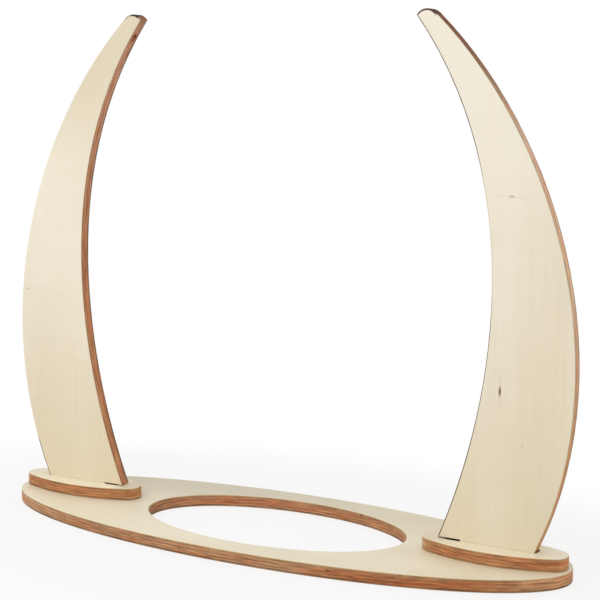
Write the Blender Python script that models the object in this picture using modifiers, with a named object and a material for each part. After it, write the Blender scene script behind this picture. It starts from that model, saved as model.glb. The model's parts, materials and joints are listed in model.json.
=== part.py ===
"""Plywood gong stand: an oval base with an oval opening, a slotted pad on each end of it, and two
tusk-shaped uprights that stand in the pads' slots and lift out.

Metres, +Z up. The origin is the middle of the base's underside. X runs along the base, through both
uprights, and the gong hangs in the XZ plane.
"""

import math

import bmesh
import bpy
from mathutils import Vector
from mathutils.geometry import interpolate_bezier

# Driving dimensions: the base
BASE_LENGTH = 0.880
BASE_WIDTH = 0.290
BASE_THICKNESS = 0.018
END_LAND = 0.238  # from the base's end to the opening
SIDE_LAND = 0.037  # from the base's side to the opening

# Driving dimensions: the pads, ovals drawn with four arcs
PAD_LENGTH = 0.203
PAD_WIDTH = 0.073
PAD_THICKNESS = 0.018
PAD_END_RADIUS = 0.0207
PAD_INSET = 0.0045  # from the base's end to the pad's end

# Driving dimensions: the uprights. Heights are above the pads' top.
UPRIGHT_THICKNESS = 0.018
UPRIGHT_HEIGHT = 0.688  # up to the inner corner of the tip
FOOT_INSET = 0.0475  # from the base's end to the foot's outer corner
FOOT_WIDTH = 0.1355
TIP_GAP = 0.428  # between the two tips' inner corners
TIP_WIDTH = 0.0265
TIP_SLOPE = 0.0025  # how much higher the tip's outer corner is
TIP_CROWN = 0.0065  # how far the tip's round top rises over its corners

# Handles of the four ends of the edge curves, each from its own end: outwards, and up
OUTER_FOOT_HANDLE = (0.110, 0.248)
OUTER_TIP_HANDLE = (0.168, -0.157)
INNER_FOOT_HANDLE = (0.0697, 0.173)
INNER_TIP_HANDLE = (0.170, -0.225)

# Driving dimensions: the joint of upright and pad
TENON_LENGTH = 0.104
TOE_GAP = 0.0015  # the toe beside the tenon stands this far above the pad
SLOT_END_GAP = 0.0025  # beyond the tenon's outer end
SLOT_CORNER_RADIUS = 0.003  # of the slot's squared outer end
SLOT_TOE_COVER = 0.006  # from the toe's tip to the slot's round inner end, hidden under the toe
SLOT_END_WALL = 0.012  # least wood between the slot's round end and the pad's inner end
SLOT_SIDE_GAP = 0.0003

# Driving dimensions: the cord holes, drilled from edge to edge below the tips
CORD_HOLE_DIAMETER = 0.006
CORD_HOLE_DROP = 0.023  # below the inner corner of the tip
CORD_DRILL_LENGTH = 0.110

# Driving dimensions: the countersunk screws that hold each pad from beneath
SCREW_LENGTH = 0.030
SCREW_DIAMETER = 0.004
SCREW_HEAD_DIAMETER = 0.0078
SCREW_HEAD_RIM = 0.0005
SCREW_POINT = 0.006
SCREW_RECESS = 0.0006  # head below the base's underside
SCREW_SPACING_X = 0.090
SCREW_SPACING_Y = 0.044
CROSS_WIDTH = 0.0042
CROSS_ARM = 0.0009
CROSS_DEPTH = 0.0016
CROSS_TAPER = 0.8

# Clearances and finish
SEAT_GAP = 0.0003  # between two pieces that touch
SCREW_CLEARANCE = 0.0003
ARRIS = 0.0010  # radius of the sanded arrises
CUT_PAST = 0.002  # how far a cutter runs past what it cuts

# How finely round outlines are drawn
ELLIPSE_STEPS = 120
EDGE_STEPS = 30
SIDE_ARC_STEPS = 18
END_ARC_STEPS = 8
CORNER_STEPS = 4
SLOT_END_STEPS = 12
TIP_STEPS = 7
ROUND_STEPS = 16

# Sizes and places that follow from the dimensions above
OPENING_LENGTH = BASE_LENGTH - 2 * END_LAND
OPENING_WIDTH = BASE_WIDTH - 2 * SIDE_LAND
PAD_CENTRE_X = BASE_LENGTH / 2 - PAD_INSET - PAD_LENGTH / 2
PAD_BOTTOM = BASE_THICKNESS + SEAT_GAP
PAD_TOP = PAD_BOTTOM + PAD_THICKNESS
PAD_INNER_END = PAD_CENTRE_X - PAD_LENGTH / 2
TENON_CENTRE_X = BASE_LENGTH / 2 - FOOT_INSET - TENON_LENGTH / 2
TENON_INNER_END = TENON_CENTRE_X - TENON_LENGTH / 2
TENON_DEPTH = PAD_TOP - (BASE_THICKNESS + SEAT_GAP)  # the tenon's end rests on the base

PLY_FACE = (0.74, 0.62, 0.44)
PLY_EDGE = (0.42, 0.21, 0.10)
ZINC = (0.62, 0.60, 0.55)

SIDES = {"left": -1, "right": 1}


def clear_scene():
    """Empties the scene, so that the script can be run again."""
    for obj in list(bpy.data.objects):
        bpy.data.objects.remove(obj)


def new_collection(name):
    """Returns a new collection in the scene."""
    made = bpy.data.collections.new(name)
    bpy.context.scene.collection.children.link(made)
    return made


def plain_material(name, colour, roughness, metallic=0.0):
    """Returns a Principled material of one colour."""
    made = bpy.data.materials.new(name)
    made.use_nodes = True
    shader = made.node_tree.nodes["Principled BSDF"]
    shader.inputs["Base Color"].default_value = (*colour, 1.0)
    shader.inputs["Roughness"].default_value = roughness
    shader.inputs["Metallic"].default_value = metallic
    return made


def arc(centre, radius, start, end, steps):
    """Points on an arc, both ends included. Angles are in radians."""
    turns = [start + (end - start) * i / steps for i in range(steps + 1)]
    return [Vector((centre[0] + radius * math.cos(t), centre[1] + radius * math.sin(t))) for t in turns]


def ellipse(length, width):
    """Points round an ellipse, anticlockwise."""
    turns = [2 * math.pi * i / ELLIPSE_STEPS for i in range(ELLIPSE_STEPS)]
    return [Vector((length / 2 * math.cos(t), width / 2 * math.sin(t))) for t in turns]


def four_arc_oval(length, width, end_radius):
    """Points round an oval of two end arcs and two side arcs that meet them smoothly."""
    a, b = length / 2, width / 2
    side_radius = (a * a + b * b - 2 * a * end_radius) / (2 * (b - end_radius))
    meet = math.atan2(side_radius - b, a - end_radius)
    right = arc((a - end_radius, 0), end_radius, -meet, meet, END_ARC_STEPS)
    back = arc((0, b - side_radius), side_radius, meet, math.pi - meet, SIDE_ARC_STEPS)
    half = right + back[1:-1]
    return half + [-point for point in half]


def slot_shape():
    """Points round the right pad's slot, from the tenon's middle, anticlockwise.

    Its outer end is squared for the tenon. Its inner end stays round, as the cutter leaves it.
    """
    half = UPRIGHT_THICKNESS / 2 + SLOT_SIDE_GAP
    outer = TENON_LENGTH / 2 + SLOT_END_GAP - SLOT_CORNER_RADIUS
    corner = half - SLOT_CORNER_RADIUS
    covered = FOOT_WIDTH - TENON_LENGTH - SLOT_TOE_COVER
    walled = TENON_INNER_END - PAD_INNER_END - SLOT_END_WALL
    run = max(min(covered, walled), half + SEAT_GAP)  # less would pinch the tenon in the round end
    inner = half - TENON_LENGTH / 2 - run
    points = arc((outer, -corner), SLOT_CORNER_RADIUS, -math.pi / 2, 0, CORNER_STEPS)
    points += arc((outer, corner), SLOT_CORNER_RADIUS, 0, math.pi / 2, CORNER_STEPS)
    return points + arc((inner, 0), half, math.pi / 2, 3 * math.pi / 2, SLOT_END_STEPS)


def cross(width, arm):
    """Points round a plus sign whose arms narrow a little outwards, anticlockwise."""
    long, short = width / 2, arm / 2
    end = short * CROSS_TAPER
    arm_points = [Vector((long, -end)), Vector((long, end)), Vector((short, short))]
    points = []
    for quarter in range(4):
        turn = quarter * math.pi / 2
        c, s = math.cos(turn), math.sin(turn)
        points += [Vector((p.x * c - p.y * s, p.x * s + p.y * c)) for p in arm_points]
    return points


def edge_curve(foot, foot_handle, tip_handle, tip):
    """Points of an upright's edge from foot to tip. Each handle is an offset from its own end."""
    flat = interpolate_bezier(
        (*foot, 0.0),
        (foot[0] + foot_handle[0], foot[1] + foot_handle[1], 0.0),
        (tip[0] + tip_handle[0], tip[1] + tip_handle[1], 0.0),
        (*tip, 0.0),
        EDGE_STEPS,
    )
    return [Vector((point.x, point.y)) for point in flat]


def tip_arc(outer, inner, crown):
    """Points of the round top from the tip's outer corner to its inner one, without its two ends."""
    outer, inner = Vector(outer), Vector(inner)
    chord = inner - outer
    radius = (chord.length / 2) ** 2 / (2 * crown) + crown / 2
    up = Vector((chord.y, -chord.x)).normalized()
    centre = (outer + inner) / 2 - up * (radius - crown)
    start = math.atan2(outer.y - centre.y, outer.x - centre.x)
    end = math.atan2(inner.y - centre.y, inner.x - centre.x)
    return arc(centre, radius, start, end, TIP_STEPS)[1:-1]


def upright_corners():
    """Corners of the right upright, from the tenon's middle at the pad's top: outwards, and up."""
    foot_outer = (TENON_LENGTH / 2, 0.0)
    toe = (TENON_LENGTH / 2 - FOOT_WIDTH, TOE_GAP)
    tip_inner = (TIP_GAP / 2 - TENON_CENTRE_X, UPRIGHT_HEIGHT)
    tip_outer = (tip_inner[0] + TIP_WIDTH, tip_inner[1] + TIP_SLOPE)
    return foot_outer, toe, tip_inner, tip_outer


def upright_edges():
    """The outer and inner edge curves of the right upright, both from foot to tip."""
    foot_outer, toe, tip_inner, tip_outer = upright_corners()
    outer = edge_curve(foot_outer, OUTER_FOOT_HANDLE, OUTER_TIP_HANDLE, tip_outer)
    inner = edge_curve(toe, INNER_FOOT_HANDLE, INNER_TIP_HANDLE, tip_inner)
    return outer, inner


def upright_outline():
    """Points round the right upright and its tenon, anticlockwise."""
    outer, inner = upright_edges()
    half = TENON_LENGTH / 2
    tenon = [Vector((-half, TOE_GAP)), Vector((-half, -TENON_DEPTH)), Vector((half, -TENON_DEPTH))]
    return outer + tip_arc(outer[-1], inner[-1], TIP_CROWN) + inner[::-1] + tenon


def mirrored(outline):
    """The outline turned over left to right, still anticlockwise."""
    return [Vector((-point.x, point.y)) for point in reversed(outline)]


def flat_curve(name, outlines, thickness, arris):
    """A filled 2D curve of the outlines, the first anticlockwise and any opening clockwise."""
    curve = bpy.data.curves.new(name, "CURVE")
    curve.dimensions = "2D"
    curve.fill_mode = "BOTH"
    curve.extrude = thickness / 2 - arris
    curve.bevel_depth = arris
    curve.bevel_resolution = 1
    curve.offset = -arris
    for outline in outlines:
        spline = curve.splines.new("POLY")
        spline.points.add(len(outline) - 1)
        spline.use_cyclic_u = True
        for slot, point in zip(spline.points, outline):
            slot.co = (point.x, point.y, 0.0, 1.0)
    return bpy.data.objects.new(name, curve)


def evaluated_mesh(obj, name):
    """The mesh of an object in the scene, as its curve or its modifiers give it."""
    bpy.context.view_layer.update()
    graph = bpy.context.evaluated_depsgraph_get()
    mesh = bpy.data.meshes.new_from_object(obj.evaluated_get(graph))
    mesh.name = name
    return mesh


def mesh_from(obj, name, home):
    """Turns a new object with a curve or with modifiers into a mesh object, and removes the first."""
    home.objects.link(obj)
    mesh = evaluated_mesh(obj, name)
    weld = bmesh.new()
    weld.from_mesh(mesh)
    bmesh.ops.remove_doubles(weld, verts=weld.verts, dist=1e-6)
    weld.to_mesh(mesh)
    weld.free()
    bpy.data.objects.remove(obj)
    made = bpy.data.objects.new(name, mesh)
    home.objects.link(made)
    return made


def board(name, outlines, thickness, home, arris=ARRIS):
    """A flat board of the outlines' shape, lying in XY and centred on Z, with sanded arrises."""
    return mesh_from(flat_curve(name, outlines, thickness, arris), name, home)


def cutter_board(name, outline, thickness, home):
    """A sharp-edged board to cut with."""
    made = board(name, [outline], thickness, home, arris=0.0)
    hide_cutter(made)
    return made


def hide_cutter(obj):
    """Keeps a cutter out of renders, and shows it as wire."""
    obj.hide_render = True
    obj.display_type = "WIRE"


def screw_profile(grown, past):
    """Radius and height down a screw's outer side, with its head at the bottom.

    grown widens it all over, and past lengthens it under the head.
    """
    shank = SCREW_DIAMETER / 2 + grown
    head = SCREW_HEAD_DIAMETER / 2 + grown
    shank_end = SCREW_LENGTH - SCREW_POINT
    point = SCREW_POINT * shank / (SCREW_DIAMETER / 2)
    cone_top = SCREW_HEAD_RIM + (head - shank)
    return [
        (0.0, shank_end + point),
        (shank, shank_end),
        (shank, cone_top),
        (head, SCREW_HEAD_RIM),
        (head, -past),
        (0.0, -past),
    ]


def turned(name, profile, home):
    """A solid turned about Z from a profile of radii and heights."""
    mesh = bpy.data.meshes.new(name)
    points = [(radius, 0.0, height) for radius, height in profile]
    mesh.from_pydata(points, [(i, i + 1) for i in range(len(points) - 1)], [])
    obj = bpy.data.objects.new(name, mesh)
    spin = obj.modifiers.new("turn", "SCREW")
    spin.steps = ROUND_STEPS
    spin.render_steps = ROUND_STEPS
    spin.use_merge_vertices = True
    spin.merge_threshold = 1e-5
    return mesh_from(obj, name, home)


def cylinder_cutter(name, diameter, length, home):
    """A round bar along Z, centred on its own origin, to drill with."""
    mesh = bpy.data.meshes.new(name)
    shape = bmesh.new()
    bmesh.ops.create_cone(
        shape,
        cap_ends=True,
        segments=ROUND_STEPS,
        radius1=diameter / 2,
        radius2=diameter / 2,
        depth=length,
    )
    shape.to_mesh(mesh)
    shape.free()
    made = bpy.data.objects.new(name, mesh)
    home.objects.link(made)
    hide_cutter(made)
    return made


def cut(obj, cutter):
    """Takes the cutter's shape out of the object."""
    step = obj.modifiers.new(cutter.name, "BOOLEAN")
    step.operation = "DIFFERENCE"
    step.object = cutter


def shade(obj):
    """Smooth shading that keeps sharp edges sharp."""
    obj.data.shade_smooth()
    obj.data.set_sharp_from_angle(angle=math.radians(30))


def veneer(obj, face, edge):
    """The veneer's material on the board's two faces, and the cut plies' on its edges."""
    obj.data.materials.clear()
    obj.data.materials.append(face)
    obj.data.materials.append(edge)
    for polygon in obj.data.polygons:
        polygon.material_index = 0 if abs(polygon.normal.z) > 0.9 else 1


def screw_places(side):
    """Where the four screws of one pad stand, in the base's plane."""
    across, along = SCREW_SPACING_X / 2, SCREW_SPACING_Y / 2
    middle = side * PAD_CENTRE_X
    return [(middle + sx * across, sy * along) for sx in (-1, 1) for sy in (-1, 1)]


def screw_cutters(home):
    """The clearance holes of all screws, which pass through the base and into the pads."""
    first = turned("screw_hole", screw_profile(SCREW_CLEARANCE, CUT_PAST), home)
    cutters = {}
    for name, side in SIDES.items():
        cutters[name] = []
        for number, (x, y) in enumerate(screw_places(side), start=1):
            one = bpy.data.objects.new(f"{name}_screw_hole_{number}", first.data)
            one.location = (x, y, SCREW_RECESS)
            home.objects.link(one)
            hide_cutter(one)
            cutters[name].append(one)
    bpy.data.objects.remove(first)
    return cutters


def make_base(parts, screw_holes, edge):
    """The oval base with its oval opening and the screws' countersunk holes."""
    rim = ellipse(BASE_LENGTH, BASE_WIDTH)
    opening = ellipse(OPENING_LENGTH, OPENING_WIDTH)[::-1]
    base = board("base_plate", [rim, opening], BASE_THICKNESS, parts)
    base.location.z = BASE_THICKNESS / 2
    for holes in screw_holes.values():
        for hole in holes:
            cut(base, hole)
    veneer(base, plain_material("base_plate", PLY_FACE, 0.55), edge)
    shade(base)


def make_pad(name, side, parts, cutters, screw_holes, edge):
    """The oval pad with the slot that the upright's tenon stands in."""
    middle = PAD_BOTTOM + PAD_THICKNESS / 2
    outline = four_arc_oval(PAD_LENGTH, PAD_WIDTH, PAD_END_RADIUS)
    pad = board(f"{name}_pad", [outline], PAD_THICKNESS, parts)
    pad.location = (side * PAD_CENTRE_X, 0.0, middle)
    shape = slot_shape()
    if side < 0:
        shape = mirrored(shape)
    slot = cutter_board(f"{name}_slot", shape, PAD_THICKNESS + 2 * CUT_PAST, cutters)
    slot.location = (side * TENON_CENTRE_X, 0.0, middle)
    cut(pad, slot)
    for hole in screw_holes:
        cut(pad, hole)
    veneer(pad, plain_material(f"{name}_pad", PLY_FACE, 0.55), edge)
    shade(pad)


def cord_hole_line():
    """Where the cord hole starts on the right upright's inner edge, and its way, square to that edge."""
    inner = upright_edges()[1]
    height = UPRIGHT_HEIGHT - CORD_HOLE_DROP
    upper = next(i for i, point in enumerate(inner) if point.y > height)
    low, high = inner[upper - 1], inner[upper]
    start = low.lerp(high, (height - low.y) / (high.y - low.y))
    along = (high - low).normalized()
    return start, Vector((along.y, -along.x))


def make_upright(name, side, parts, cutters, edge):
    """The tusk-shaped upright, with its tenon and its cord hole."""
    outline = upright_outline()
    if side < 0:
        outline = mirrored(outline)
    upright = board(f"{name}_upright", [outline], UPRIGHT_THICKNESS, parts)
    place = Vector((side * TENON_CENTRE_X, 0.0, PAD_TOP))
    upright.location = place
    upright.rotation_euler.x = math.pi / 2
    start, outwards = cord_hole_line()
    drill = cylinder_cutter(f"{name}_cord_drill", CORD_HOLE_DIAMETER, CORD_DRILL_LENGTH, cutters)
    middle = start + outwards * TIP_WIDTH / 2
    drill.location = place + Vector((side * middle.x, 0.0, middle.y))
    drill.rotation_euler.y = side * math.atan2(outwards.x, outwards.y)
    cut(upright, drill)
    veneer(upright, plain_material(f"{name}_upright", PLY_FACE, 0.55), edge)
    shade(upright)


def make_screws(parts, cutters):
    """The screws, which share one mesh with a cross recess in its head."""
    first = turned("screw", screw_profile(0.0, 0.0), parts)
    recess = cutter_board("screw_cross", cross(CROSS_WIDTH, CROSS_ARM), 2 * CROSS_DEPTH, cutters)
    cut(first, recess)
    finished = evaluated_mesh(first, "wood_screw")
    finished.materials.clear()
    finished.materials.append(plain_material("wood_screw", ZINC, 0.35, 1.0))
    finished.shade_smooth()
    finished.set_sharp_from_angle(angle=math.radians(30))
    bpy.data.objects.remove(first)
    for name, side in SIDES.items():
        for number, (x, y) in enumerate(screw_places(side), start=1):
            screw = bpy.data.objects.new(f"{name}_pad_screw_{number}", finished)
            screw.location = (x, y, SCREW_RECESS)
            parts.objects.link(screw)


def build():
    """Makes the whole stand."""
    clear_scene()
    parts = new_collection("gong_stand")
    cutters = new_collection("cutters")
    edge = plain_material("ply_edge", PLY_EDGE, 0.6)
    screw_holes = screw_cutters(cutters)
    make_base(parts, screw_holes, edge)
    for name, side in SIDES.items():
        make_pad(name, side, parts, cutters, screw_holes[name], edge)
        make_upright(name, side, parts, cutters, edge)
    make_screws(parts, cutters)


build()
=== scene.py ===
"""Looks of the plywood gong stand: cut plies and pale veneer on its five boards, zinc on its screws.

Metres, in the CAD's frame. X runs along the base, -Y is the side that the photograph shows, and +Z is up.
"""
import json
import math

import bpy
from mathutils import Matrix, Vector


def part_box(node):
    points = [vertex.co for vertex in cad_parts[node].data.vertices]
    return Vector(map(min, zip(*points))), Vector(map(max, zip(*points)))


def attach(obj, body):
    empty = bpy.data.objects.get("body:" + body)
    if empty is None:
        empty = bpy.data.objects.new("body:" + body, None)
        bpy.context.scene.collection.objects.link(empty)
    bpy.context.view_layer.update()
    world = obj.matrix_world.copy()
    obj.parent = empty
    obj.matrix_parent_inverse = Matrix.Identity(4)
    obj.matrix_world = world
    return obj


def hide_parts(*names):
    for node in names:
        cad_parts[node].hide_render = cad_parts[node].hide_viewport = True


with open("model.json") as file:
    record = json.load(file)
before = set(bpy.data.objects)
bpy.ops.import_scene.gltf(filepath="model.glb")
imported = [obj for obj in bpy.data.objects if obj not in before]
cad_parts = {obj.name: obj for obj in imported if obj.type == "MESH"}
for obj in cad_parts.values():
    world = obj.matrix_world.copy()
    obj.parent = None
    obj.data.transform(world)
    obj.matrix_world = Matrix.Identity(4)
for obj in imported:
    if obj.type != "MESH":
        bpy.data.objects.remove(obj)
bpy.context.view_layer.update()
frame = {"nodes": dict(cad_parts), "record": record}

# Which way each board lies: the object axes along its face grain, across it, and through its thickness
LYING = ("X", "Y", "Z")
STANDING = ("Z", "X", "Y")
BOARDS = {
    "base_plate": ("oval_base", LYING),
    "left_pad": ("left_foot_pad", LYING),
    "right_pad": ("right_foot_pad", LYING),
    "left_upright": ("left_tusk", STANDING),
    "right_upright": ("right_tusk", STANDING),
}
CORE_PLIES = 7
FACE_PLY = 0.0013  # the pale veneer on each side of the core
LINE_DEPTH = 0.0024  # from a face to the middle of the dark line under it
WELD = 1e-6
FACE_DEPTH = 0.001  # the face veneer's part of a rounded arris
FACE_TILT = 0.75  # a surface that leans more than this from the face is a cut edge

# The camera, fitted to the photograph
CAMERA_PLACE = Vector((1.0034, -1.7681, 0.6377))
CAMERA_TARGET = Vector((0.0411, 0.0, 0.3401))
CAMERA_ROLL = math.radians(0.2785)
CAMERA_LENS = 88.395
SENSOR = 36.0

# The light, fitted to the photograph's surfaces: an even surround, and each lamp's place and power
SURROUND = 0.68
LAMPS = {
    "front_softbox": ((0.0, -1.6, 0.9), 8.6),
    "left_softbox": ((-1.6, -0.5, 0.9), 4.4),
}
LAMP_SIZE = 1.2
LAMP_TARGET = (0.0, 0.0, 0.3)


def srgb(red, green, blue):
    """A colour as the photograph shows it, 0 to 255, as the linear one that shaders take."""
    shares = [value / 255 for value in (red, green, blue)]
    return tuple(s / 12.92 if s <= 0.04045 else ((s + 0.055) / 1.055) ** 2.4 for s in shares)


VENEER_PALE = srgb(240, 232, 213)
# The lying boards' veneer: partly their own creamier tone, partly painted light on their upward faces
VENEER_CREAM_AND_TOP_LIGHT = srgb(250, 240, 213)
VENEER_WARM = srgb(226, 209, 177)
VENEER_GREY = srgb(212, 203, 179)
MARK_DARK = srgb(120, 84, 56)
PLY_PALE = srgb(212, 188, 146)
PLY_GOLD = srgb(190, 152, 110)
PLY_DULL = srgb(166, 136, 110)
PLY_DARK = srgb(112, 80, 58)
HEART_RED = srgb(171, 105, 64)
GLUE_DARK = srgb(84, 50, 32)
# Painted shade: the dark walls inside the pads' slots, under the uprights' toes
SLOT_SHADE_DARK = srgb(40, 25, 14)
SCORCHED = srgb(34, 25, 16)
# The scorched brown of the tips' round tops, also used for painted shade lines along the uprights' left arrises
CROWN_AND_SHADE_BROWN = srgb(84, 50, 30)
# Brown of the tips: partly the oiled end grain's own colour, partly painted shade where the edge faces up
TIP_BROWN_AND_SHADE = srgb(136, 82, 46)
STAIN_RED = srgb(146, 72, 50)
ZINC = srgb(178, 176, 168)

# Tints that the edge's colour is multiplied by: patches of redder and more golden wood, and the outer core plies
RED_TINT = (1.03, 0.79, 0.68)
GOLD_TINT = (1.03, 1.10, 1.04)
OUTER_TINT = (0.98, 1.14, 1.20)

# The round tops of the tips: the middle of their arc, upwards and out from X = 0, and its radius
CROWN_CENTRE = (0.7152, 0.2282)
CROWN_RADIUS = 0.0169

# How far out from X = 0 an upright's inner outline lies, in falling powers of its height above OUTLINE_MIDDLE
OUTLINE_MIDDLE = 0.4
INNER_OUTLINE = (-0.87078, -0.52493, -0.50964, -0.41528, -0.71873, -0.03890, 0.32493)
OUTER_FOOT = (-1.06479, 0.51611, 0.37518)  # its outer outline near the pad, in powers of the height itself


class Graph:
    """A material whose nodes are made with short calls. Values are sockets or plain numbers."""

    def __init__(self, name):
        self.material = bpy.data.materials.new(name)
        self.material.use_nodes = True
        self.tree = self.material.node_tree
        self.shader = self.tree.nodes["Principled BSDF"]

    def put(self, socket, value):
        """Links a socket to the value, or sets the value on it."""
        if isinstance(value, bpy.types.NodeSocket):
            self.tree.links.new(value, socket)
        elif isinstance(value, tuple) and len(value) == 3 and socket.type == "RGBA":
            socket.default_value = (*value, 1.0)
        else:
            socket.default_value = value

    def node(self, kind, *inputs, **settings):
        """A node with its settings, and its first inputs in order."""
        made = self.tree.nodes.new(kind)
        for key, value in settings.items():
            setattr(made, key, value)
        for socket, value in zip(made.inputs, inputs):
            self.put(socket, value)
        return made

    def math(self, operation, *inputs, clamp=False):
        return self.node("ShaderNodeMath", *inputs, operation=operation, use_clamp=clamp).outputs[0]

    def add(self, first, second):
        return self.math("ADD", first, second)

    def less(self, first, second):
        return self.math("SUBTRACT", first, second)

    def times(self, first, second):
        return self.math("MULTIPLY", first, second)

    def size(self, value):
        return self.math("ABSOLUTE", value)

    def most(self, first, second):
        return self.math("MAXIMUM", first, second)

    def ramp(self, value, low, high):
        """0 below low and 1 above high, smooth between them. low may be above high."""
        made = self.node("ShaderNodeMapRange", interpolation_type="SMOOTHSTEP")
        for socket, number in zip(made.inputs, (value, low, high, 0.0, 1.0)):
            self.put(socket, number)
        return made.outputs[0]

    def blend(self, factor, first, second, mode="MIX"):
        """The first colour turned into the second by factor."""
        made = self.node("ShaderNodeMix", data_type="RGBA", blend_type=mode)
        self.put(made.inputs["Factor"], factor)
        self.put(made.inputs[6], first)
        self.put(made.inputs[7], second)
        return made.outputs[2]

    def scaled(self, colour, factor):
        """The colour made lighter or darker by a factor about 1."""
        made = self.node("ShaderNodeVectorMath", colour, operation="SCALE")
        self.put(made.inputs["Scale"], factor)
        return made.outputs[0]

    def noise(self, place, scales, detail=2.0, roughness=0.5):
        """Noise from 0 to 1 about 0.5, stretched by its own scale along each of three directions."""
        scaled = [self.times(part, scale) for part, scale in zip(place, scales)]
        vector = self.node("ShaderNodeCombineXYZ", *scaled).outputs[0]
        made = self.node("ShaderNodeTexNoise", noise_dimensions="3D")
        self.put(made.inputs["Vector"], vector)
        self.put(made.inputs["Scale"], 1.0)
        self.put(made.inputs["Detail"], detail)
        self.put(made.inputs["Roughness"], roughness)
        return made.outputs["Fac"]

    def parts(self, vector, order):
        """The three parts of a vector, in the order of the axes named."""
        split = self.node("ShaderNodeSeparateXYZ", vector)
        return [split.outputs[axis] for axis in order]

    def bump(self, height, strength, distance):
        """Raises the surface by a height from 0 to 1."""
        made = self.node("ShaderNodeBump")
        self.put(made.inputs["Strength"], strength)
        self.put(made.inputs["Distance"], distance)
        self.put(made.inputs["Height"], height)
        self.put(self.shader.inputs["Normal"], made.outputs[0])


def grain_place(graph, axes, shift):
    """Where a point lies along the grain, across it and through the board, moved on by shift."""
    coordinates = graph.node("ShaderNodeTexCoord")
    place = graph.parts(coordinates.outputs["Object"], axes)
    moved = [graph.add(part, shift * step) for part, step in zip(place, (1.0, 0.7, 0.0))]
    return place, moved


def oval_reach(graph, place, centre, size):
    """0 in the middle of an oval, 1 on its outline and more outside it."""
    shares = []
    for part, middle, half in zip(place, centre, size):
        away = graph.math("DIVIDE", graph.less(part, middle), half)
        shares.append(graph.times(away, away))
    return graph.add(*shares)


def spot(graph, place, centre, size, strength):
    """The strength in the middle of a soft oval spot on a face, and 0 outside it."""
    return graph.times(graph.ramp(oval_reach(graph, place, centre, size), 1.0, 0.0), strength)


def wing(graph, place, start, end, bend, width, strength):
    """A fine soft line across the grain from start to end, fading out towards its end."""
    along, across = place[0], place[1]
    share = graph.math("DIVIDE", graph.less(across, start[1]), end[1] - start[1])
    straight = graph.add(graph.times(share, end[0] - start[0]), start[0])
    bow = graph.times(graph.times(share, graph.less(1.0, share)), 4 * bend)
    away = graph.size(graph.less(along, graph.add(straight, bow)))
    inside = graph.times(graph.ramp(share, -0.05, 0.05), graph.ramp(share, 1.0, 0.35))
    return graph.times(graph.times(graph.ramp(away, width, 0.0), inside), strength)


def front_only(graph, place, factor):
    """The factor on the side that the photograph shows, and 0 on the back."""
    return graph.times(factor, graph.math("LESS_THAN", place[2], 0.0))


def left_marks(graph, place):
    """The branch scar at the left upright's outer edge, with its fine wings."""
    eye = spot(graph, place, (0.3240, -0.4262), (0.0018, 0.0050), 0.28)
    near = wing(graph, place, (0.3250, -0.4250), (0.3235, -0.3700), 0.0030, 0.0026, 0.055)
    far = wing(graph, place, (0.3225, -0.4000), (0.3140, -0.3480), 0.0010, 0.0028, 0.045)
    return front_only(graph, place, graph.most(eye, graph.most(near, far)))


def right_marks(graph, place):
    """The branch scar high on the right upright, and the short mineral streaks and pin knots below it."""
    eye = spot(graph, place, (0.4962, 0.3497), (0.0022, 0.0050), 0.46)
    left = wing(graph, place, (0.4966, 0.3510), (0.4954, 0.3120), 0.0006, 0.0024, 0.08)
    right = wing(graph, place, (0.4966, 0.3480), (0.4890, 0.3830), 0.0010, 0.0026, 0.10)
    streak = spot(graph, place, (0.2443, 0.3400), (0.0088, 0.0023), 1.00)
    tail = spot(graph, place, (0.2443, 0.3397), (0.0300, 0.0024), 0.12)
    knot = spot(graph, place, (0.1758, 0.3725), (0.0034, 0.0022), 0.16)
    faint = spot(graph, place, (0.1812, 0.4055), (0.0024, 0.0040), 0.06)
    marks = graph.most(eye, graph.most(left, right))
    for mark in (streak, tail, knot, faint):
        marks = graph.most(marks, mark)
    return front_only(graph, place, marks)


def base_far_shade(graph, place):
    """How much warmer and greyer the base's face is: both on its far side, most at the left, as painted shade."""
    far = graph.ramp(place[1], -0.02, 0.12)
    left = graph.add(graph.times(graph.ramp(place[0], 0.20, -0.15), 0.50), 0.25)
    return graph.times(far, 0.10), graph.times(far, left)


def left_pad_tone_and_shade(graph, place):
    """The left pad's face is paler but for its inner end, which is warmer with painted shade beside the upright's foot.
    """
    return graph.less(graph.times(graph.ramp(place[0], -0.275, -0.245), 1.00), 0.35), 0.0


def right_pad_tone_and_shade(graph, place):
    """The right pad's face is paler but for its inner end, which is warmer with painted shade beside the upright's
    foot.
    """
    return graph.less(graph.times(graph.ramp(place[0], 0.275, 0.245), 0.65), 0.35), 0.0


def left_tusk_tone_and_shade(graph, place):
    """The left upright is warmer at its foot, which is painted shade, and warmer and greyer towards its tip."""
    tip = graph.ramp(place[0], 0.50, 0.68)
    return graph.add(graph.times(graph.ramp(place[0], 0.45, 0.05), 0.50), graph.times(tip, 0.50)), graph.times(tip, 0.40)


def right_tusk_tone_and_shade(graph, place):
    """The right upright is warmer at its foot, which is painted shade, and paler towards its tip."""
    tip = graph.ramp(place[0], 0.42, 0.60)
    return graph.less(graph.times(graph.ramp(place[0], 0.45, 0.05), 0.45), graph.times(tip, 0.30)), 0.0


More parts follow.
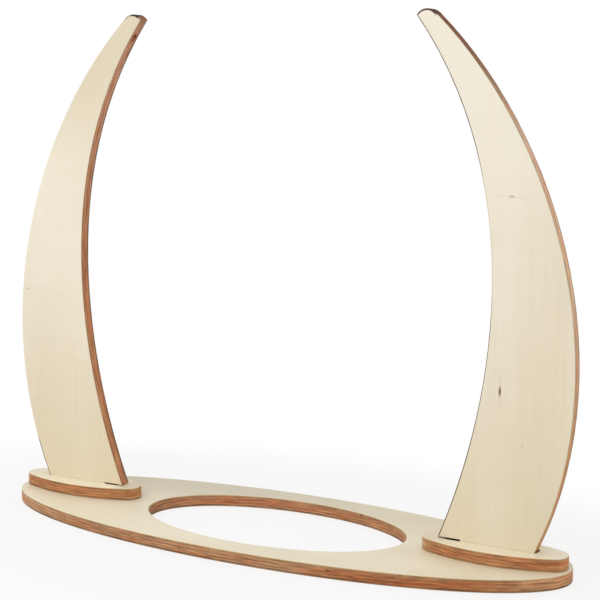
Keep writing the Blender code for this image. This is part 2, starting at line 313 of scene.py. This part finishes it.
def veneer(name, axes, shift, tone, marks, rim):
    """Pale rotary-cut birch: soft bands, fine streaks, fibres, and a faint ripple across the grain."""
    graph = Graph(name)
    place, moved = grain_place(graph, axes, shift)
    bands = graph.noise(moved, (1.6, 11.0, 0.0), detail=1.0)
    streaks = graph.noise(moved, (7.0, 170.0, 0.0), detail=3.0)
    fibres = graph.noise(moved, (45.0, 1500.0, 0.0), detail=2.0)
    ripple = graph.noise(moved, (46.0, 9.0, 0.0), detail=1.0)
    clouds = graph.noise(moved, (4.0, 6.0, 0.0), detail=2.0)
    # The tone function's warmth and grey hold the board's own tone and the painted shade it adds
    warmer, greyer = tone(graph, place)
    warmth = graph.add(graph.times(bands, 0.9), graph.times(streaks, 0.35))
    warmth = graph.add(warmth, graph.times(ripple, 0.18))
    warmth = graph.add(warmth, graph.times(fibres, 0.12))
    warmth = graph.add(warmth, warmer)
    # The lying boards' creamier veneer also holds painted light on their upward faces
    pale = VENEER_CREAM_AND_TOP_LIGHT if axes is LYING else VENEER_PALE
    colour = graph.blend(graph.ramp(warmth, 0.40, 1.55), pale, VENEER_WARM)
    grey = graph.add(graph.times(graph.ramp(clouds, 0.50, 0.80), 0.25), greyer)
    colour = graph.blend(grey, colour, VENEER_GREY)
    if marks is not None:
        colour = graph.blend(marks(graph, place), colour, MARK_DARK)
    if rim is not None:
        normal = graph.parts(graph.node("ShaderNodeTexCoord").outputs["Normal"], axes)
        colour = rim(graph, place, normal, colour)
    graph.put(graph.shader.inputs["Base Color"], colour)
    rough = graph.add(graph.times(streaks, 0.10), 0.46)
    graph.put(graph.shader.inputs["Roughness"], rough)
    graph.bump(graph.add(graph.times(fibres, 0.6), graph.times(streaks, 0.4)), 0.25, 0.0002)
    return graph.material


def base_edge(graph, place, normal):
    """The base's edge: tan, lighter at its ends, and redder in the opening and at the front's right."""
    along, across = place[0], place[1]
    ends = graph.ramp(graph.size(normal[0]), 0.30, 0.90)
    colour = graph.blend(ends, srgb(176, 132, 96), srgb(202, 150, 108))
    right = graph.times(graph.ramp(along, 0.08, 0.18), graph.ramp(along, 0.41, 0.34))
    front = graph.times(graph.times(right, graph.ramp(across, 0.0, -0.06)), 0.80)
    below = graph.add(graph.times(graph.ramp(place[2], 0.0155, 0.0115), 0.80), 0.20)
    colour = graph.blend(graph.times(front, below), colour, HEART_RED)
    inside = graph.ramp(oval_reach(graph, place, (0.0, 0.0), (0.32, 0.127)), 1.1, 0.9)
    return graph.blend(inside, colour, srgb(180, 127, 91))


def pad_edge(graph, place, normal):
    """A pad's edge: chestnut in front, and lighter at its ends."""
    colour = graph.blend(graph.ramp(normal[0], -0.20, -0.85), srgb(176, 121, 82), srgb(198, 168, 132))
    return graph.blend(graph.ramp(normal[0], 0.50, 0.95), colour, srgb(203, 143, 99))


def left_tusk_edge(graph, place, normal):
    """The left upright's edge: chestnut, lighter where it faces down as painted light from below, darker behind,
    stained below the cord hole.
    """
    # Painted light: lighter where the edge faces down
    colour = graph.blend(graph.ramp(normal[0], 0.0, -0.45), srgb(192, 132, 93), srgb(201, 147, 116))
    colour = graph.blend(graph.times(graph.ramp(place[2], 0.0030, 0.0065), 0.40), colour, srgb(124, 84, 56))
    stain = graph.times(spot(graph, (place[0], place[2]), (0.6985, 0.0), (0.0085, 0.0070), 0.75),
                        graph.ramp(place[1], -0.245, -0.238))
    return graph.blend(stain, colour, STAIN_RED)


def right_tusk_edge(graph, place, normal):
    """The right upright's edge: light tan, partly painted light from the right; golden where it faces down; dark brown
    where it faces up near its tip, partly painted shade; darker behind.
    """
    # The light tan is partly painted light from the right
    colour = graph.blend(graph.ramp(normal[0], 0.22, -0.32), srgb(242, 198, 162), srgb(206, 148, 94))
    # Dark brown where the edge faces up: its own oiled colour and painted shade
    colour = graph.blend(graph.ramp(normal[0], 0.46, 0.70), colour, TIP_BROWN_AND_SHADE)
    return graph.blend(graph.times(graph.ramp(place[2], 0.0025, 0.0060), 0.35), colour, srgb(134, 88, 52))


def crown(graph, place):
    """1 on the round top of a tip and close inside its outline, and 0 elsewhere."""
    out = (place[0], graph.size(place[1]))
    away = graph.math("SQRT", oval_reach(graph, out, CROWN_CENTRE, (1.0, 1.0)))
    on_arc = graph.ramp(away, CROWN_RADIUS - 0.0030, CROWN_RADIUS - 0.0022)
    return graph.times(on_arc, graph.ramp(place[0], 0.7215, 0.7260))


def falling_powers(graph, value, factors):
    """The sum of the factors times falling powers of the value."""
    total = factors[0]
    for factor in factors[1:]:
        total = graph.add(graph.times(total, value), factor)
    return total


def inside_outline(graph, place):
    """How far a point of an upright lies outwards of its inner outline."""
    inner = falling_powers(graph, graph.less(place[0], OUTLINE_MIDDLE), INNER_OUTLINE)
    return graph.less(graph.size(place[1]), inner)


def outer_foot(graph, height):
    """How far out an upright's outer outline lies at a height near its foot."""
    return falling_powers(graph, height, OUTER_FOOT)


def left_arris(graph, normal):
    """1 on a board's left arris in front, and 0 elsewhere."""
    return graph.times(graph.ramp(normal[2], -0.05, -0.20), graph.ramp(normal[1], 0.0, -0.08))


def pad_slot_shade(graph, place, normal, colour):
    """The walls of the pad's slot are painted dark as shade, but for its faces."""
    out = (graph.size(place[0]), place[1])
    # Painted shade inside the slot
    slot = graph.ramp(oval_reach(graph, out, (0.329, 0.0), (0.075, 0.020)), 1.3, 1.1)
    return graph.blend(graph.times(slot, graph.ramp(graph.size(normal[2]), 0.97, 0.85)), colour, SLOT_SHADE_DARK)


def left_tusk_rim(graph, place, normal, colour):
    """The left upright's round top is scorched and brown near its inner corner, and a line of painted shade runs along
    its left arris at the foot.
    """
    top = crown(graph, place)
    inner = graph.ramp(graph.add(place[1], graph.times(place[2], 0.14)), -0.2185, -0.2205)
    outer = graph.less(1.0, graph.times(graph.ramp(place[1], -0.2285, -0.2325), 0.75))
    behind = graph.times(graph.ramp(place[2], 0.0045, 0.0070), 0.80)
    colour = graph.blend(graph.times(graph.times(top, 0.45), outer), colour, TIP_BROWN_AND_SHADE)
    black = graph.times(top, graph.times(graph.most(inner, behind), outer))
    colour = graph.blend(black, colour, SCORCHED)
    # Painted shade: a dark line along the left arris at the foot
    foot = graph.less(outer_foot(graph, place[0]), graph.size(place[1]))
    line = graph.times(graph.ramp(foot, 0.0022, 0.0016), graph.ramp(place[0], 0.100, 0.085))
    return graph.blend(graph.times(line, graph.ramp(normal[2], -0.05, -0.20)), colour, CROWN_AND_SHADE_BROWN)


def right_tusk_rim(graph, place, normal, colour):
    """The right upright: a brown tip, partly painted shade where it faces up; a line of painted shade along its left
    arris, fainter midway and reaching a little onto the face; and a golden foot.
    """
    height = place[0]
    # Painted shade: a dark line along the left arris, fainter midway
    fainter_midway = graph.times(graph.ramp(graph.size(graph.less(height, 0.44)), 0.12, 0.05), 0.85)
    reach = graph.times(graph.ramp(graph.size(graph.less(height, 0.38)), 0.12, 0.26), 0.0004)
    inside = graph.less(inside_outline(graph, place), reach)
    front = graph.times(graph.ramp(normal[2], -0.05, -0.20), graph.ramp(inside, 0.0013, 0.0010))
    line = graph.times(graph.most(left_arris(graph, normal), front), graph.less(1.0, fainter_midway))
    side = graph.ramp(normal[1], 0.30, 0.80)
    foot = graph.times(graph.times(graph.ramp(height, 0.075, 0.055), 0.80), side)
    colour = graph.blend(foot, colour, srgb(204, 148, 90))
    # Paler low on the front part of the edge, where it faces right
    pale_low_front = graph.times(graph.ramp(graph.size(graph.less(height, 0.125)), 0.055, 0.035), graph.ramp(place[2], -0.0035, -0.0060))
    colour = graph.blend(graph.times(graph.times(pale_low_front, 0.75), graph.ramp(normal[1], 0.10, 0.50)), colour, srgb(240, 208, 168))
    # Dark brown where the edge faces up: its own oiled colour and painted shade
    colour = graph.blend(graph.times(graph.ramp(normal[0], 0.50, 0.70), 0.55), colour, TIP_BROWN_AND_SHADE)
    return graph.blend(graph.most(crown(graph, place), line), colour, CROWN_AND_SHADE_BROWN)


def ply_edge(name, axes, shift, middle, thickness, colouring, sides, rim):
    """The oiled cut edge: core plies by turns lighter and darker, with patches, streaks and glue lines.

    sides is the low side and the high one: how dark the wide line close to the face is, and the face ply's colour. On
    the lying boards the low side's heavier line and duller ply are partly painted shade.
    """
    (low_line, low_ply), (high_line, high_ply) = sides
    graph = Graph(name)
    place, moved = grain_place(graph, axes, shift)
    normal = graph.parts(graph.node("ShaderNodeTexCoord").outputs["Normal"], axes)
    through = graph.less(place[2], middle)
    core = (thickness - 2 * FACE_PLY) / CORE_PLIES
    level = graph.math("DIVIDE", graph.add(through, core * CORE_PLIES / 2), core)
    count = graph.math("FLOOR", level)
    lighter = graph.size(graph.math("MODULO", count, 2.0))
    in_ply = (moved[0], moved[1], count)
    own = graph.noise(in_ply, (6.0, 6.0, 7.3), detail=1.0)
    patches = graph.noise(in_ply, (17.0, 17.0, 3.7), detail=2.0)
    streaks = graph.noise(moved, (38.0, 38.0, 430.0), detail=3.0, roughness=0.6)
    pores = graph.noise(moved, (420.0, 420.0, 1500.0), detail=1.0)
    colour = colouring(graph, place, normal)
    colour = graph.blend(graph.ramp(patches, 0.50, 0.64), colour, RED_TINT, "MULTIPLY")
    colour = graph.blend(graph.ramp(patches, 0.48, 0.34), colour, GOLD_TINT, "MULTIPLY")
    colour = graph.blend(graph.ramp(graph.size(through), 0.0042, 0.0058), colour, OUTER_TINT, "MULTIPLY")
    tone = graph.add(graph.times(lighter, 0.14), graph.times(own, 0.60))
    tone = graph.add(tone, graph.times(streaks, 2.20))
    colour = graph.scaled(colour, graph.less(tone, 0.42))
    nearest = graph.math("ROUND", level)
    border = graph.size(graph.less(level, nearest))
    broken = graph.ramp(graph.noise((moved[0], moved[1], nearest), (11.0, 11.0, 5.3)), 0.36, 0.60)
    heavier = graph.less(1.0, graph.size(graph.math("MODULO", nearest, 2.0)))
    thin = graph.times(graph.ramp(border, 0.24, 0.05), graph.add(graph.times(heavier, 0.38), 0.14))
    outer = graph.size(graph.less(graph.size(through), thickness / 2 - LINE_DEPTH))
    high = graph.math("GREATER_THAN", through, 0.0)
    dark = graph.add(graph.times(high, high_line - low_line), low_line)
    thick = graph.times(graph.ramp(outer, 0.0012, 0.0003), dark)
    line = graph.times(graph.most(thin, thick), graph.add(graph.times(broken, 0.70), 0.30))
    gaps = graph.ramp(graph.noise(in_ply, (70.0, 70.0, 9.1), detail=1.0), 0.72, 0.77)
    line = graph.most(line, graph.times(gaps, 0.7))
    line = graph.most(line, graph.times(graph.ramp(pores, 0.60, 0.75), 0.30))
    colour = graph.blend(line, colour, GLUE_DARK)
    face = graph.ramp(graph.size(through), thickness / 2 - FACE_PLY, thickness / 2 - 0.8 * FACE_PLY)
    colour = graph.blend(face, colour, graph.blend(high, low_ply, high_ply))
    if rim is not None:
        colour = rim(graph, place, normal, colour)
    graph.put(graph.shader.inputs["Base Color"], colour)
    graph.put(graph.shader.inputs["Roughness"], graph.add(graph.times(streaks, 0.15), 0.50))
    graph.shader.inputs["Specular IOR Level"].default_value = 0.12
    graph.bump(graph.add(graph.times(streaks, 0.7), graph.times(pores, 0.3)), 0.35, 0.0003)
    return graph.material


# Each board's face tone with its painted shade, marks, edge colour, the outer line and ply of its low and high side,
# and its special parts with painted shade in the pads' slots and along the uprights' left arrises
LOOKS = {
    # On the lying boards the low side's heavier line and duller ply are partly the glue line and partly painted shade
    # along the underside
    "base_plate": (base_far_shade, None, base_edge, ((0.80, PLY_DULL), (0.10, PLY_PALE)), None),
    "left_pad": (left_pad_tone_and_shade, None, pad_edge, ((0.60, PLY_DULL), (0.45, PLY_PALE)), pad_slot_shade),
    "right_pad": (right_pad_tone_and_shade, None, pad_edge, ((0.35, PLY_GOLD), (0.10, PLY_PALE)), pad_slot_shade),
    "left_upright": (left_tusk_tone_and_shade, left_marks, left_tusk_edge, ((0.30, PLY_GOLD), (0.75, PLY_DARK)), left_tusk_rim),
    "right_upright": (right_tusk_tone_and_shade, right_marks, right_tusk_edge, ((0.30, PLY_PALE), (0.60, PLY_DULL)), right_tusk_rim),
}


def zinc():
    """Zinc-plated steel with faint brushed blotches."""
    graph = Graph("zinc_plate")
    coordinates = graph.node("ShaderNodeTexCoord")
    place = graph.parts(coordinates.outputs["Object"], LYING)
    blotches = graph.noise(place, (900.0, 900.0, 900.0), detail=3.0)
    colour = graph.blend(graph.ramp(blotches, 0.3, 0.7), ZINC, srgb(150, 148, 138))
    graph.put(graph.shader.inputs["Base Color"], colour)
    graph.put(graph.shader.inputs["Roughness"], graph.add(graph.times(blotches, 0.2), 0.25))
    graph.shader.inputs["Metallic"].default_value = 1.0
    return graph.material


def body_of(node):
    """The body that a CAD node rides on."""
    bodies = frame["record"]["behaviour"]["bodies"]
    return next(name for name, nodes in bodies.items() if node in nodes)


def shows_face(node, polygon, outer, axes):
    """True for the veneer's part of a board: its faces, and the outer side of its pale arrises."""
    through = "XYZ".index(axes[2])
    if abs(polygon.normal[through]) < FACE_TILT or outer > FACE_DEPTH:
        return False
    # The right upright's left arris takes the edge material, where its painted shade line lies
    dark_left = node == "right_upright" and polygon.normal.x < -0.10
    on_crown = axes is STANDING and polygon.normal.z > max(0.10, 1.2 * abs(polygon.normal.x))
    return not (dark_left or on_crown)


def board_piece(node, name, axes, face, edge):
    """A welded, smoothly shaded copy of a CAD board, with veneer on its faces and plies on its edges."""
    source = frame["nodes"][node].data
    mesh = bpy.data.meshes.new(name)
    corners = [tuple(vertex.co) for vertex in source.vertices]
    mesh.from_pydata(corners, [], [tuple(polygon.vertices) for polygon in source.polygons])
    low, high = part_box(node)
    through = "XYZ".index(axes[2])
    mesh.materials.append(face)
    mesh.materials.append(edge)
    for polygon in mesh.polygons:
        outer = min(polygon.center[through] - low[through], high[through] - polygon.center[through])
        polygon.material_index = 0 if shows_face(node, polygon, outer, axes) else 1
    piece = bpy.data.objects.new(name, mesh)
    bpy.context.scene.collection.objects.link(piece)
    weld = piece.modifiers.new("weld", "WELD")
    weld.merge_threshold = WELD
    graph = bpy.context.evaluated_depsgraph_get()
    piece.data = bpy.data.meshes.new_from_object(piece.evaluated_get(graph))
    piece.data.name = name
    piece.modifiers.clear()
    piece.data.shade_smooth()
    piece.data.set_sharp_from_angle(angle=math.radians(50))
    weighted = piece.modifiers.new("even_shading", "WEIGHTED_NORMAL")
    weighted.keep_sharp = True
    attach(piece, body_of(node))
    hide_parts(node)
    return piece


def make_boards():
    """All five boards, each with its own part of the veneer's pattern."""
    for number, (node, (name, axes)) in enumerate(BOARDS.items()):
        low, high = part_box(node)
        through = "XYZ".index(axes[2])
        middle = (low[through] + high[through]) / 2
        thickness = high[through] - low[through]
        shift = 1.37 * (number + 1)
        tone, marks, colouring, sides, rim = LOOKS[node]
        face = veneer(f"{name}_veneer", axes, shift, tone, marks, rim)
        edge = ply_edge(f"{name}_plies", axes, shift, middle, thickness, colouring, sides, rim)
        board_piece(node, name, axes, face, edge)


def finish_screws():
    """Zinc on the screws, which keep their CAD shape."""
    plate = zinc()
    for node, obj in frame["nodes"].items():
        if node.split("_")[-2] == "screw":
            obj.data.materials.clear()
            obj.data.materials.append(plate)


def make_camera():
    """The photograph's camera."""
    back = (CAMERA_PLACE - CAMERA_TARGET).normalized()
    level = Vector((0, 0, 1)).cross(back).normalized()
    upright = back.cross(level)
    right = math.cos(CAMERA_ROLL) * level + math.sin(CAMERA_ROLL) * upright
    up = back.cross(right)
    data = bpy.data.cameras.new("camera")
    data.lens = CAMERA_LENS
    data.sensor_width = SENSOR
    data.clip_end = 100.0
    camera = bpy.data.objects.new("camera", data)
    turn = Matrix((right, up, back)).transposed().to_4x4()
    camera.matrix_world = Matrix.Translation(CAMERA_PLACE) @ turn
    bpy.context.scene.collection.objects.link(camera)
    bpy.context.scene.camera = camera


def seen_directly(graph):
    """1 for rays from the camera and from mirrors and glass, 0 for those that carry light."""
    path = graph.node("ShaderNodeLightPath")
    seen = graph.add(path.outputs["Is Camera Ray"], path.outputs["Is Glossy Ray"])
    return graph.math("ADD", seen, path.outputs["Is Transmission Ray"], clamp=True)


def make_floor():
    """A pale floor: white where it is seen, with a soft shadow left near the object."""
    bpy.ops.mesh.primitive_plane_add(size=40.0, location=(0.0, 0.0, -0.0004))
    floor = bpy.context.object
    floor.name = "floor"
    graph = Graph("floor")
    tree = graph.tree
    graph.put(graph.shader.inputs["Base Color"], (0.86, 0.86, 0.86))
    graph.shader.inputs["Roughness"].default_value = 0.9
    graph.shader.inputs["Specular IOR Level"].default_value = 0.0
    place = graph.parts(graph.node("ShaderNodeTexCoord").outputs["Object"], LYING)
    away = graph.math("SQRT", oval_reach(graph, place[:2], (0.0, 0.0), (0.60, 0.36)))
    white = graph.add(graph.times(graph.ramp(away, 0.85, 1.45), 0.20), 0.80)
    bright = graph.node("ShaderNodeEmission", (1.0, 1.0, 1.0), 1.0)
    mixed = graph.node("ShaderNodeMixShader", graph.times(white, seen_directly(graph)))
    tree.links.new(graph.shader.outputs[0], mixed.inputs[1])
    tree.links.new(bright.outputs[0], mixed.inputs[2])
    tree.links.new(mixed.outputs[0], tree.nodes["Material Output"].inputs["Surface"])
    floor.data.materials.append(graph.material)


def make_world(strength):
    """Even white light, and a white background where it is seen."""
    world = bpy.data.worlds.new("studio")
    world.use_nodes = True
    bpy.context.scene.world = world
    graph = Graph.__new__(Graph)
    graph.tree = world.node_tree
    plain = graph.tree.nodes["Background"]
    plain.inputs["Color"].default_value = (1.0, 1.0, 1.0, 1.0)
    plain.inputs["Strength"].default_value = strength
    white = graph.node("ShaderNodeBackground", (1.0, 1.0, 1.0), 1.0)
    mixed = graph.node("ShaderNodeMixShader", seen_directly(graph))
    graph.tree.links.new(plain.outputs[0], mixed.inputs[1])
    graph.tree.links.new(white.outputs[0], mixed.inputs[2])
    graph.tree.links.new(mixed.outputs[0], graph.tree.nodes["World Output"].inputs["Surface"])


def softbox(name, place, power):
    """A square area light that faces the middle of the stand."""
    data = bpy.data.lights.new(name, "AREA")
    data.size = LAMP_SIZE
    data.energy = power
    light = bpy.data.objects.new(name, data)
    light.location = place
    light.rotation_euler = (Vector(LAMP_TARGET) - Vector(place)).to_track_quat("-Z", "Y").to_euler()
    bpy.context.scene.collection.objects.link(light)


def make_light():
    """Plain soft studio light."""
    make_world(SURROUND)
    for name, (place, power) in LAMPS.items():
        softbox(name, place, power)


make_boards()
finish_screws()
make_camera()
make_floor()
make_light()
bpy.context.scene.view_settings.view_transform = "Standard"
